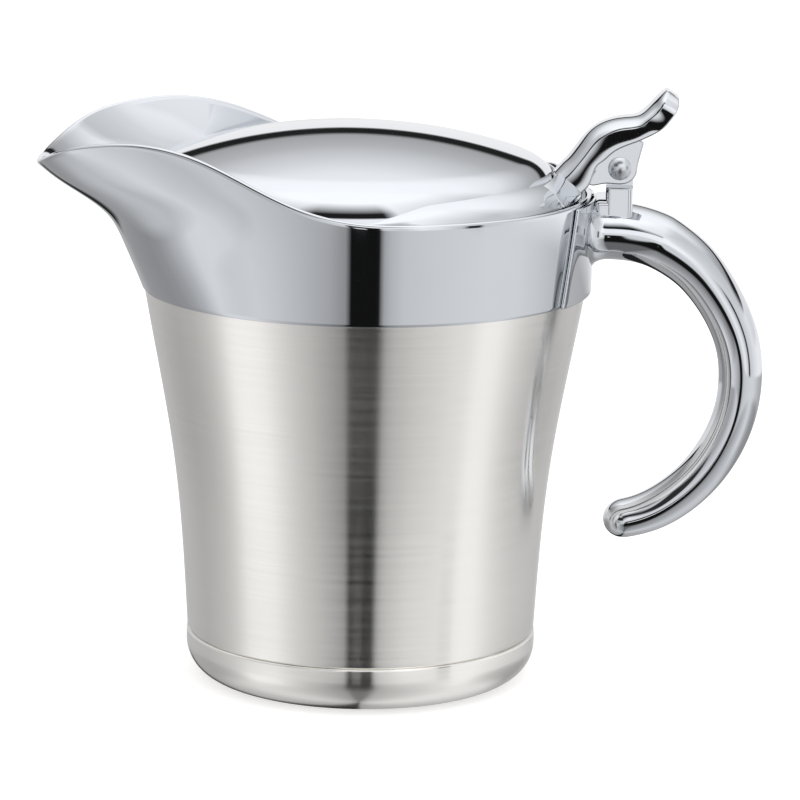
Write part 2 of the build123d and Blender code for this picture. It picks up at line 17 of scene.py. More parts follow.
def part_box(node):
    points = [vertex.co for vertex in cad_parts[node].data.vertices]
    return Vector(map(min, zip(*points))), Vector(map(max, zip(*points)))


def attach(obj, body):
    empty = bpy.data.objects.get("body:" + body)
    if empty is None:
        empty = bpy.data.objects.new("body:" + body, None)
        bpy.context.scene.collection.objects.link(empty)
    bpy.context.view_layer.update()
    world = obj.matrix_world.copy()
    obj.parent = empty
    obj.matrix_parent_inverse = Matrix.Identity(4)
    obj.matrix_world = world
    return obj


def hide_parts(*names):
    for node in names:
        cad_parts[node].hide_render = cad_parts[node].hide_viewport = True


bl_info = {
    "name": "Insulated sauce jug",
    "version": (1, 0, 0),
    "blender": (4, 5, 0),
    "location": "View3D > Sidebar > Jug",
    "description": "Builds the jug's finished surfaces over its packed solids",
    "category": "Object",
}

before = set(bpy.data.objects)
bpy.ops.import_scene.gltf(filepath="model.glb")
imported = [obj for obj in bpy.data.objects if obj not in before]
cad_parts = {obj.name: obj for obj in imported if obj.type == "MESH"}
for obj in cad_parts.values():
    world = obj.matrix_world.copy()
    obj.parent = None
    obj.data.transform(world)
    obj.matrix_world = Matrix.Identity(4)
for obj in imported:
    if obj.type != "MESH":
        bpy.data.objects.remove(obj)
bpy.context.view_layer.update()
MM = 0.001
WELD = 1e-4                # points closer than this, in mm, become one
CREASE = radians(42.0)     # sharper edges aren't shaded smooth


def top_of(node):
    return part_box(node)[1].z


def reach_of(node):
    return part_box(node)[1].x


def linear(hex_colour):
    """Linear RGBA values of an sRGB hex colour."""
    parts = [int(hex_colour[i:i + 2], 16) / 255 for i in (1, 3, 5)]
    return [c / 12.92 if c <= 0.04045 else ((c + 0.055) / 1.055) ** 2.4 for c in parts] + [1.0]


def length(title, note, default):
    return FloatProperty(name=title, description=note, default=default, min=0.0, unit="LENGTH",
                         precision=5)


def tint(title, note, default):
    return FloatVectorProperty(name=title, description=note, default=linear(default)[:3], size=3,
                               subtype="COLOR", min=0.0, max=1.0)


def share(title, note, default):
    return FloatProperty(name=title, description=note, default=default, min=0.0, max=1.0,
                         subtype="FACTOR")


class JugSizes(bpy.types.PropertyGroup):
    """Sizes of the jug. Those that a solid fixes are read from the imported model."""

    base_radius: length("Base radius", "Outside of the base cup", reach_of("base_cup"))
    base_rounding: length("Base rounding", "Rounding under the base cup", 9.3 * MM)
    base_lip: length("Base lip", "Top of the base cup", top_of("base_cup"))
    lap_height: length("Lap height", "Where the wall leaves the cup", 13.4 * MM)
    seam_height: length("Seam height", "Foot of the chromed collar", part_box("spout_collar")[0].z)
    mouth_radius: length("Mouth radius", "Outside of the wall at the seam", reach_of("outer_shell"))
    sheet: length("Sheet", "Thickness of the outer wall", 0.6 * MM)
    collar_proud: length("Collar step", "How far the collar stands proud at the seam", 0.5 * MM)
    collar_wall: length("Collar wall", "Thickness of the collar's wall", 1.5 * MM)
    rim_lean: length("Rim lean", "How much wider the collar's rim is than its foot", 0.8 * MM)
    rim_height: length("Rim height", "Rim over the handle half", 132.2 * MM)
    tip_rise: length("Tip rise", "Rise from the seam to the spout's tip", 32.8 * MM)
    spout_length: length("Spout length", "From the round rim to the tip", 28.0 * MM)
    shelf_height: length("Shelf height", "Top of the ring inside the collar", 127.4 * MM)
    shelf_hole: length("Shelf hole", "Radius of the opening in that ring", 50.5 * MM)
    bow_radius: length("Bow radius", "Middle line of the handle's curve", 38.55 * MM)
    bar_depth: length("Bar depth", "The handle's bar in the plane of its curve", 11.5 * MM)
    bar_width: length("Bar width", "The handle's bar across its curve", 15.0 * MM)
    pin_reach: length("Pin reach", "The hinge pin's place along X", 66.9 * MM)
    pin_height: length("Pin height", "The hinge pin's height", 140.1 * MM)
    rivet_radius: length("Rivet radius", "Domed ends of the hinge pin", 3.1 * MM)
    dome_radius: length("Dome radius", "Widest part of the lid's dome", 57.3 * MM)
    dome_height: length("Dome height", "Top of the lid's dome", top_of("lid_dome"))
    lever_half: length("Lever half width", "Half the thumb lever's width", 8.5 * MM)


class JugFinish(bpy.types.PropertyGroup):
    """Colours and surfaces."""

    steel: tint("Brushed steel", "Body and base cup", "#F3F1ED")
    chrome: tint("Chrome", "Collar, lid, handle and lever", "#CCCFD3")
    liner: tint("Drawn steel", "Liner and other hidden sheet parts", "#B9B7B2")
    silicone: tint("Silicone", "Seal under the collar's shelf", "#D9D6CE")
    floor: tint("Floor", "Table top under the jug", "#F4F4F2")
    steel_roughness: share("Steel roughness", "Spread of the brushed steel's shine", 0.16)
    chrome_roughness: share("Chrome roughness", "Spread of the chrome's shine", 0.035)


def in_mm(context):
    """The sizes above in millimetres, with the places that follow from them."""
    group = context.scene.jug_sizes
    s = SimpleNamespace(**{name: getattr(group, name) / MM for name in JugSizes.__annotations__})
    s.foot_radius = s.base_radius - 0.2
    s.collar_foot = s.mouth_radius + s.collar_proud
    s.rim_radius = s.collar_foot + s.rim_lean
    s.tip_reach = s.rim_radius + s.spout_length
    s.neck_radius = s.mouth_radius - 4.3
    s.neck_top = s.seam_height + 18.0
    s.bow = (s.rim_radius + 2.0, s.rim_height - 49.2)
    s.dome_edge = s.rim_height - 1.2
    s.flange_foot = s.rim_radius - 3.0
    s.flange_top = s.rim_radius - 9.5
    return s


# Shared shapes

def smooth_line(table):
    """A function through a table of (place, value) that bends evenly from point to point."""
    xs = [place for place, _ in table]
    ys = [value for _, value in table]
    last = len(xs) - 1
    bend = [0.0] * (last + 1)
    sweep = [0.0] * (last + 1)
    for i in range(1, last):
        span = xs[i + 1] - xs[i - 1]
        part = (xs[i] - xs[i - 1]) / span
        turn = ((ys[i + 1] - ys[i]) / (xs[i + 1] - xs[i])
                - (ys[i] - ys[i - 1]) / (xs[i] - xs[i - 1]))
        below = part * bend[i - 1] + 2.0
        bend[i] = (part - 1.0) / below
        sweep[i] = (6.0 * turn / span - part * sweep[i - 1]) / below
    for i in range(last - 1, -1, -1):
        bend[i] = bend[i] * bend[i + 1] + sweep[i]

    def value(x):
        k = min(max(bisect_right(xs, x) - 1, 0), last - 1)
        step = xs[k + 1] - xs[k]
        a = (xs[k + 1] - x) / step
        b = (x - xs[k]) / step
        curve = (a ** 3 - a) * bend[k] + (b ** 3 - b) * bend[k + 1]
        return a * ys[k] + b * ys[k + 1] + curve * step * step / 6.0

    return value


def eased(x):
    x = min(max(x, 0.0), 1.0)
    return x * x * (3.0 - 2.0 * x)


def hermite(t, start, end, leaving, landing):
    """Even curve from start to end while t goes from 0 to 1, with its slopes at both ends."""
    return ((2 * t ** 3 - 3 * t * t + 1) * start + (3 * t * t - 2 * t ** 3) * end
            + (t ** 3 - 2 * t * t + t) * leaving + (t ** 3 - t * t) * landing)


def arc(centre, radius, start, end, count):
    """Points on an arc in the XZ plane, by angles from +X towards +Z."""
    turns = [radians(start + (end - start) * k / count) for k in range(count + 1)]
    return [(centre[0] + radius * cos(t), centre[1] + radius * sin(t)) for t in turns]


def rounded(corners, steps=5):
    """Points along (x, z, radius) corners, each turned by its own radius. A point just outside
    each bend keeps the straight part beside it flat."""
    points = []
    for i, (x, z, radius) in enumerate(corners):
        here = Vector((x, z))
        if radius == 0.0:
            points.append((x, z))
            continue
        before = (Vector(corners[i - 1][:2]) - here).normalized()
        after = (Vector(corners[i + 1][:2]) - here).normalized()
        half = before.angle(after) / 2
        centre = here + (before + after).normalized() * (radius / sin(half))
        start = here + before * (radius / tan(half))
        end = here + after * (radius / tan(half))
        spoke = start - centre
        turn = spoke.angle_signed(end - centre)
        points.append(tuple(start + before * 0.2 * radius))
        for k in range(steps + 1):
            points.append(tuple(centre + Matrix.Rotation(-turn * k / steps, 2) @ spoke))
        points.append(tuple(end + after * 0.2 * radius))
    return points


def spun(profile, closed=False, centre=0.0, steps=288, start=0.0, angle=360.0, bm=None):
    """A profile of (x, z) points turned about an upright axis. A part turn gets flat ends."""
    bm = bm or bmesh.new()
    base = Matrix.Rotation(radians(start), 3, "Z")
    axis = Vector((centre, 0, 0))
    verts = [bm.verts.new(base @ Vector((x, 0, z)) + axis) for x, z in profile]
    edges = [bm.edges.new(pair) for pair in zip(verts, verts[1:])]
    if closed:
        edges.append(bm.edges.new((verts[-1], verts[0])))
    bmesh.ops.spin(bm, geom=verts + edges, cent=axis, axis=(0, 0, 1), angle=radians(angle),
                   steps=steps, use_merge=angle == 360.0)
    if angle != 360.0:
        bmesh.ops.holes_fill(bm, edges=[e for e in bm.edges if e.is_boundary], sides=0)
    return bm


def verts_in(geometry):
    return [v for v in geometry if isinstance(v, bmesh.types.BMVert)]


def ring_edges(bm, verts):
    return [bm.edges.get(pair) for pair in zip(verts, verts[1:] + verts[:1])]


def grow_ring(bm, verts, points):
    """Extrudes a ring of edges to a new ring of points."""
    grown = bmesh.ops.extrude_edge_only(bm, edges=ring_edges(bm, verts))["geom"]
    fresh = set(verts_in(grown))
    ring = [next(e.other_vert(v) for e in v.link_edges if e.other_vert(v) in fresh)
            for v in verts]
    for vert, point in zip(ring, points):
        vert.co = point
    return ring


def skin(rings, joined=False):
    """A skin drawn through rings of points. Its ends are capped, or joined into one loop."""
    bm = bmesh.new()
    first = bmesh.ops.create_circle(bm, segments=len(rings[0]), radius=1.0)["verts"]
    for vert, point in zip(first, rings[0]):
        vert.co = point
    last = first
    for points in rings[1:]:
        last = grow_ring(bm, last, points)
    if joined:
        bmesh.ops.bridge_loops(bm, edges=ring_edges(bm, first) + ring_edges(bm, last))
        return bm
    for ring in (first, last):
        middle = sum((v.co for v in ring), Vector()) / len(ring)
        tip = grow_ring(bm, ring, [middle] * len(ring))
        bmesh.ops.pointmerge(bm, verts=tip, merge_co=middle)
    return bm


def block(bm, size, centre):
    corners = bmesh.ops.create_cube(bm, size=1.0)["verts"]
    bmesh.ops.scale(bm, vec=size, verts=corners)
    bmesh.ops.translate(bm, vec=centre, verts=corners)
    return corners


def slab(bm, outline, start, width):
    """A flat plate: an outline of (x, z) points at y = start, drawn out along Y."""
    face = bm.faces.new([bm.verts.new((x, start, z)) for x, z in outline])
    grown = bmesh.ops.extrude_face_region(bm, geom=[face])["geom"]
    bmesh.ops.translate(bm, vec=(0, width, 0), verts=verts_in(grown))
    bmesh.ops.recalc_face_normals(bm, faces=bm.faces)


def sharp_edges(bm, angle):
    return [e for e in bm.edges if e.is_manifold and e.calc_face_angle(0.0) > radians(angle)]


def bevelled(bm, edges, width, steps):
    bmesh.ops.bevel(bm, geom=edges, offset=width, offset_type="OFFSET", segments=steps,
                    profile=0.5, affect="EDGES", clamp_overlap=True, material=-1)


def wrapped_plate(place, across, along, thickness, edge):
    """A thin plate: a grid laid out by place(u, v), given its thickness and rounded edges."""
    bm = bmesh.new()
    grid = bmesh.ops.create_grid(bm, x_segments=across, y_segments=along, size=1.0)["verts"]
    for vert in grid:
        vert.co = place(vert.co.x, (vert.co.y + 1.0) / 2.0)
    faces = bm.faces[:]
    bmesh.ops.recalc_face_normals(bm, faces=faces)
    bmesh.ops.solidify(bm, geom=faces, thickness=thickness)
    bmesh.ops.recalc_face_normals(bm, faces=bm.faces)
    bevelled(bm, sharp_edges(bm, 60.0), edge, 3)
    return bm


def new_object(name, data):
    made = bpy.data.objects.new(name, data)
    bpy.context.scene.collection.objects.link(made)
    return made


def mesh_object(name, bm, finish):
    mesh = bpy.data.meshes.new(name)
    bm.to_mesh(mesh)
    bm.free()
    mesh.materials.append(finish)
    return new_object(name, mesh)


def add_piece(name, bm, finish, body, *nodes, blocky=False):
    """Turns a mesh into a finished piece that rides on a body and stands for CAD nodes."""
    bmesh.ops.remove_doubles(bm, verts=bm.verts, dist=WELD)
    bmesh.ops.recalc_face_normals(bm, faces=bm.faces)
    bmesh.ops.scale(bm, vec=(MM, MM, MM), verts=bm.verts)
    piece = mesh_object(name, bm, finish)
    piece.data.shade_smooth()
    piece.data.set_sharp_from_angle(angle=CREASE)
    if blocky:
        # Flat faces keep their own direction next to small roundings
        even = piece.modifiers.new("flat faces", "WEIGHTED_NORMAL")
        even.keep_sharp = True
    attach(piece, body)
    if nodes:
        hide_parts(*nodes)
    return piece


# Materials

def fill_inputs(tree, node, inputs):
    """Sets a node's inputs, by socket name or number, to values or to other nodes' outputs."""
    for name, value in inputs.items():
        if isinstance(value, bpy.types.NodeSocket):
            tree.links.new(value, node.inputs[name])
        else:
            node.inputs[name].default_value = value


def add_node(tree, kind, inputs, output=0, **settings):
    """Adds a shader node with its settings and inputs, and gives back one of its outputs."""
    node = tree.nodes.new("ShaderNode" + kind)
    for name, value in settings.items():
        setattr(node, name, value)
    fill_inputs(tree, node, inputs)
    return node.outputs[output]


def tones(colour, low, high):
    """A darker and a lighter version of one colour."""
    return [[c * k for c in colour] + [1.0] for k in (low, high)]


def streaks(tree, tall, wide):
    """Grey pattern drawn out to these sizes in mm, up and down and on the level."""
    place = add_node(tree, "TexCoord", {}, "Object")
    scale = (1 / (wide * MM), 1 / (wide * MM), 1 / (tall * MM))
    stretched = add_node(tree, "Mapping", {"Vector": place, "Scale": scale})
    return add_node(tree, "TexNoise", {
        "Vector": stretched, "Scale": 1.0, "Detail": 3.0, "Roughness": 0.6})


def patches(tree, size):
    """Slow cloudy variation with patches of one size in mm."""
    place = add_node(tree, "TexCoord", {}, "Object")
    return add_node(tree, "TexNoise", {
        "Vector": place, "Scale": 1 / (size * MM), "Detail": 2.0})


def new_surface(name, colours, roughness, pattern, *sizes, rough_sizes=None, **inputs):
    """A material whose colour and roughness each run between two values with a pattern of
    these sizes in mm. Its tree, its shader and the pattern come back with it."""
    material = bpy.data.materials.new(name)
    material.use_nodes = True
    tree = material.node_tree
    shader = tree.nodes["Principled BSDF"]
    grain = pattern(tree, *sizes)
    sheen = pattern(tree, *rough_sizes) if rough_sizes else grain
    colour = add_node(tree, "Mix", {0: grain, 6: colours[0], 7: colours[1]}, 2,
                      data_type="RGBA")
    rough = add_node(tree, "MapRange", {
        "Value": sheen, "From Min": 0.3, "From Max": 0.7, "To Min": roughness[0],
        "To Max": roughness[1]})
    fill_inputs(tree, shader, {"Base Color": colour, "Roughness": rough, **inputs})
    return material, tree, shader, grain


def brushed_stainless(context):
    """Stainless sheet brushed round the body: fine level lines, and reflections that are
    drawn out up and down into soft upright bands. The real lines are about 0.05 mm apart, too
    fine to show, so they are drawn at 0.28 mm."""
    look = context.scene.jug_finish
    rough = look.steel_roughness
    material, tree, shader, lines = new_surface(
        "stainless steel, brushed round", tones(look.steel, 0.94, 1.0),
        (rough - 0.02, rough + 0.02), streaks, 0.28, 40.0, rough_sizes=(1.2, 60.0),
        Metallic=1.0, Anisotropic=1.0)
    upright = add_node(tree, "CombineXYZ", {"Z": 1.0})
    ridges = add_node(tree, "Bump", {
        "Height": lines, "Strength": 0.05, "Distance": 0.02 * MM})
    fill_inputs(tree, shader, {"Tangent": upright, "Normal": ridges})
    return material


def mirror_chrome(context, name, spread=1.0):
    """Bright chrome plate over polished metal: near-mirror reflections, a touch uneven where
    the metal under it was buffed, with faint haze from wiping."""
    look = context.scene.jug_finish
    rough = look.chrome_roughness * spread
    material, tree, shader, _ = new_surface(
        name, tones(look.chrome, 0.96, 1.0), (rough * 0.6, rough * 1.4), patches, 18.0,
        Metallic=1.0)
    swell = add_node(tree, "Bump", {
        "Height": patches(tree, 30.0), "Strength": 0.02, "Distance": 1.0 * MM})
    fill_inputs(tree, shader, {"Normal": swell})
    return material


def drawn_stainless(context):
    """Deep-drawn stainless sheet with a satin inside: soft reflections with faint draw lines
    that run up the wall, 1.2 mm wide."""
    look = context.scene.jug_finish
    return new_surface("stainless steel, deep drawn", tones(look.liner, 0.9, 1.03),
                       (0.24, 0.36), streaks, 9.0, 1.2, Metallic=1.0)[0]


def moulded_silicone(context):
    """Food-grade silicone, moulded: soft, milky and almost without shine, with clouds of 4 mm."""
    look = context.scene.jug_finish
    return new_surface("silicone rubber, moulded", tones(look.silicone, 0.9, 1.0),
                       (0.5, 0.65), patches, 4.0, IOR=1.41)[0]


def pressed_powder():
    """Sintered getter pellet: dark, grainy and matt, like pressed metal powder. The real grain
    of about 0.1 mm is drawn at 0.4 mm, so that it shows."""
    return new_surface("getter alloy, sintered", (linear("#3A3835"), linear("#66635E")),
                       (0.6, 0.85), patches, 0.4, Metallic=0.7)[0]


def melted_solder():
    """A bead of melted solder: bright grey with a slightly frosted skin, in spots of 0.8 mm."""
    return new_surface("tin solder, melted", (linear("#9C9DA0"), linear("#C6C7C9")),
                       (0.28, 0.45), patches, 0.8, Metallic=1.0)[0]


# Body

def wall_points(s, inset, bottom, top, count):
    """Flare of the outer wall as an even curve through its foot, waist and mouth."""
    flare = s.mouth_radius - s.foot_radius
    waist = (s.lap_height + s.seam_height) / 2
    half = waist - s.lap_height
    even = flare / (2 * half)
    # Height, radius and slope of each
    knots = [
        (s.lap_height, s.foot_radius, 0.45 * even),
        (waist, s.foot_radius + 0.32 * flare, 1.058 * even),
        (s.seam_height, s.mouth_radius, 1.315 * even),
    ]
    points = []
    for k in range(count + 1):
        z = bottom + (top - bottom) * k / count
        low, high = knots[:2] if z < waist else knots[1:]
        reach = hermite((z - low[0]) / half, low[1], high[1], low[2] * half, high[2] * half)
        points.append((reach - inset, z))
    return points


class JUG_OT_body(bpy.types.Operator):
    """Brushed outer wall with the base cup lapped over its foot"""

    bl_idname = "jug.body"
    bl_label = "Body and base cup"

    def execute(self, context):
        s = in_mm(context)
        steel = brushed_stainless(context)
        flat = s.base_radius - s.base_rounding
        inner = s.base_radius - s.sheet
        hem, ease = 0.3, 0.05
        cup = [(0, 0), (0.3 * flat, 0), (0.7 * flat, 0)]
        cup += arc((flat, s.base_rounding), s.base_rounding, -90, 0, 20)
        cup += [(s.base_radius, s.base_lip - 2 * hem)]
        cup += arc((s.base_radius - hem, s.base_lip - hem), hem, 0, 90, 4)
        cup += [(inner + ease, s.base_lip), (inner, s.base_lip - ease)]
        cup += arc((flat, s.base_rounding), s.base_rounding - s.sheet, 0, -90, 12)
        cup += [(0, s.sheet)]
        add_piece("base_cup_brushed", spun(cup), steel, "jug", "base_cup")

        # The foot slips into the cup, swells out over its edge and flares up to the neck
        foot, neck = inner - ease, s.neck_radius - s.sheet
        shoulder = s.seam_height + 2.0
        swell = 0.4
        wall = [(foot, s.base_rounding), (foot, s.lap_height - 0.6),
                (foot + 0.03, s.lap_height - 0.5)]
        wall += arc((s.foot_radius - swell, s.lap_height + 0.1), swell, -30, 0, 3)
        wall += wall_points(s, 0, s.lap_height + 0.3, s.seam_height, 64)
        wall += [(s.neck_radius, shoulder), (s.neck_radius, s.neck_top)]
        wall += [(neck, s.neck_top), (neck, shoulder)]
        wall += wall_points(s, s.sheet, s.seam_height - s.sheet, s.lap_height + 0.4, 24)
        wall += [(foot - s.sheet, s.lap_height - 0.4), (foot - s.sheet, s.base_rounding)]
        add_piece("outer_wall_brushed", spun(wall, closed=True), steel, "jug", "outer_shell")
        return {"FINISHED"}


class JUG_OT_liner(bpy.types.Operator):
    """Drawn inner vessel that holds the sauce"""

    bl_idname = "jug.liner"
    bl_label = "Liner"

    def execute(self, context):
        s = in_mm(context)
        vacuum, sheet, turn = 4.0, 0.5, 12.0
        gap = s.sheet + vacuum
        floor = s.lap_height + 1.6
        start = floor + turn
        mouth = s.mouth_radius - gap - 0.5
        neck = s.neck_radius - s.sheet - 1.6
        lip = s.neck_top + sheet
        shoulder, neck_foot = s.seam_height - 3.0, s.seam_height + 4.0
        side = wall_points(s, gap, start, shoulder, 40)
        flat = side[0][0] - turn

        def half(thickness):
            bottom = [(0, floor + thickness), (0.5 * flat, floor + thickness)]
            bottom += arc((flat, start), turn - thickness, -90, 0, 16)[:-1]
            bottom += [(x - thickness, z) for x, z in side[:-1]]
            return bottom + [(mouth - thickness, shoulder)]

        outside = half(0) + [(neck, neck_foot), (neck, s.neck_top)]
        over = rounded([(neck, s.neck_top, 0), (s.neck_radius, s.neck_top, 0.1),
                        (s.neck_radius, lip, 0.3), (neck - sheet, lip, 0.4),
                        (neck - sheet, neck_foot, 0)], steps=4)
        bm = spun(outside + over[1:] + half(sheet)[::-1], steps=192)
        add_piece("liner_drawn", bm, drawn_stainless(context), "jug", "inner_liner")
        return {"FINISHED"}


# Collar and spout

# Share of the rise from seam to tip, and share of the tip's reach beyond the collar's foot
SPOUT_FLARE = [
    (-0.16, -0.07), (0.0, 0.0), (0.16, 0.075), (0.32, 0.155), (0.48, 0.24), (0.63, 0.365),
    (0.78, 0.595), (0.92, 0.85), (1.05, 1.03), (1.2, 1.2), (1.4, 1.36),
]
# The spout's outline from above: cosine of the turn from its middle, and share of its reach
SPOUT_PLAN = [
    (0.0, 0.0), (0.2, 0.015), (0.35, 0.08), (0.48, 0.2), (0.56, 0.32), (0.63, 0.46), (0.7, 0.62),
    (0.76, 0.77), (0.82, 0.88), (0.9, 0.965), (1.0, 1.0),
]
LEAN_SHARE = 1.4     # the collar leans out over this share of the tip's rise
CREST = 17.2         # the spout's sides rise this far above the level rim
CREST_PLACE = 0.636  # share of the spout's reach at which they do
SHELF_SHEET = 1.6
# The edge at the collar's foot: how far in from its outside, and how far above the seam
FOOT_EDGE = [(1.5, 0.6), (0.42, 0.06), (0.25, 0.0), (0.06, 0.08)]
COLLAR_STEPS, WALL_STEPS, ROLL_STEPS, INSIDE_STEPS = 320, 48, 8, 24


class CollarForm:
    """The collar's outside as a surface of turn, in radians from the spout, and height."""

    def __init__(self, s):
        self.s = s
        self.flare = smooth_line(SPOUT_FLARE)
        self.plan = smooth_line(SPOUT_PLAN)
        rim, crest, top = s.rim_height, CREST, s.rim_height + CREST
        tip, reach = s.seam_height + s.tip_rise, s.tip_reach
        peak = CREST_PLACE * reach
        # Height of the rim, seen from the side
        self.rim = smooth_line([
            (-reach, tip), (-0.25 * peak - 0.75 * reach, top - 0.46 * (top - tip)),
            (-0.6 * peak - 0.4 * reach, top - 0.11 * (top - tip)), (-peak, top),
            (-0.75 * peak, rim + 0.87 * crest), (-0.5 * peak, rim + 0.54 * crest),
            (-0.25 * peak, rim + 0.21 * crest), (0.0, rim + 0.04 * crest), (20.0, rim), (32.0, rim),
            (44.0, rim), (80.0, rim),
        ])

    def point(self, turn, z):
        s = self.s
        rise = (z - s.seam_height) / s.tip_rise
        side = s.collar_foot + s.rim_lean * (1.0 - (1.0 - min(rise / LEAN_SHARE, 1.0)) ** 2)
        beyond = max(s.collar_foot + self.flare(rise) * (s.tip_reach - s.collar_foot) - side, 0.0)
        grown = beyond * self.plan(cos(turn)) if cos(turn) > 0.0 else 0.0
        return Vector((-side * cos(turn) - grown, side * sin(turn), z))

    def normal(self, turn, z):
        along = self.point(turn + 0.004, z) - self.point(turn - 0.004, z)
        up = self.point(turn, z + 0.05) - self.point(turn, z - 0.05)
        across = along.cross(up).normalized()
        outward = self.point(turn, z)
        return across if across.x * outward.x + across.y * outward.y > 0 else -across

    def rim_top(self, turn):
        """Height at which the wall meets the rim's line, by halving."""
        low, high = self.s.rim_height - 4.0, self.s.rim_height + 22.0
        for _ in range(40):
            z = (low + high) / 2
            if z < self.rim(self.point(turn, z).x):
                low = z
            else:
                high = z
        return low

    def inside(self, turn, height):
        """Point on the inner face of the wall at a height."""
        z = height
        for _ in range(4):
            z = height + self.s.collar_wall * self.normal(turn, z).z
        return self.point(turn, z) - self.normal(turn, z) * self.s.collar_wall


class JUG_OT_collar(bpy.types.Operator):
    """Chromed collar with the spout, its rolled rim and the ring inside it"""

    bl_idname = "jug.collar"
    bl_label = "Collar and spout"

    def execute(self, context):
        s = in_mm(context)
        form = CollarForm(s)
        half_wall = s.collar_wall / 2
        foot = s.seam_height + 0.3
        under = s.shelf_height - SHELF_SHEET
        turns = [2 * pi * k / COLLAR_STEPS for k in range(COLLAR_STEPS)]
        shoulder = [form.rim_top(t) - half_wall for t in turns]
        columns = []
        for k, turn in enumerate(turns):
            top = shoulder[k]
            column = [form.point(turn, foot + (top - foot) * j / WALL_STEPS)
                      for j in range(WALL_STEPS + 1)]
            after = (k + 1) % COLLAR_STEPS
            along = (form.point(turns[after], shoulder[after])
                     - form.point(turns[k - 1], shoulder[k - 1]))
            normal = form.normal(turn, top)
            up = normal.cross(along).normalized()
            up = up if up.z > 0 else -up
            middle = column[-1] - normal * half_wall
            for j in range(1, ROLL_STEPS + 1):
                roll = pi * j / ROLL_STEPS
                column.append(middle + (normal * cos(roll) + up * sin(roll)) * half_wall)
            inner_top = column[-1].z
            for j in range(1, INSIDE_STEPS + 1):
                height = inner_top + (s.shelf_height - inner_top) * j / INSIDE_STEPS
                column.append(form.inside(turn, height))
            flat = column[-1]
            hub = Vector((-cos(turn), sin(turn), 0))
            edge = hub * s.shelf_hole
            edge.z = s.shelf_height
            column += [flat.lerp(edge, inward) for inward in (0.02, 0.3, 0.7, 0.97)]
            hole = arc((s.shelf_hole + 0.3, s.shelf_height - 0.3), 0.3, 90, 180, 3)
            column += [hub * x + Vector((0, 0, z)) for x, z in (*hole, (s.shelf_hole, under))]
            column.append(form.inside(turn, under))
            column.append(form.inside(turn, (under + s.seam_height) / 2))
            column += [hub * (s.collar_foot - x) + Vector((0, 0, s.seam_height + z))
                       for x, z in FOOT_EDGE]
            columns.append(column)
        chrome = mirror_chrome(context, "chrome plate, collar")
        add_piece("collar_chromed", skin(list(zip(*columns)), joined=True), chrome, "jug",
                  "spout_collar")
        return {"FINISHED"}


# Handle and hinge

# The bar's middle line, its depth and how much wider it gets, in mm, by angle from the level
# line through the bow's centre
BOW_START, BOW_END = -77.5, 66.0
BOW_MIDDLE = [
    (-82, 39.7), (-75, 39.8), (-65, 39.7), (-55, 39.3), (-45, 38.95), (-35, 38.65), (-20, 38.45),
    (0, 38.45), (15, 38.6), (30, 38.6), (40, 38.9), (50, 39.45), (60, 39.8), (66, 40.05),
    (75, 40.4),
]
BOW_DEPTH = [
    (-82, 10.2), (-75, 10.4), (-65, 11.0), (-50, 11.4), (-35, 11.5), (0, 11.6), (20, 12.0),
    (30, 12.3), (40, 12.8), (50, 13.5), (60, 14.2), (66, 14.7), (75, 15.3),
]
BOW_WIDENING = [(-80, 0.0), (0, 0.0), (30, 1.0), (50, 3.0), (66, 5.0)]
BOW_STEPS, ROOT_STEPS, TIP_STEPS, FILLET_STEPS, BAR_SIDES = 71, 16, 12, 8, 96
ROOT_DEPTH, ROOT_WIDTH = 15.2, 22.0
ROOT_FILLET = 4.0


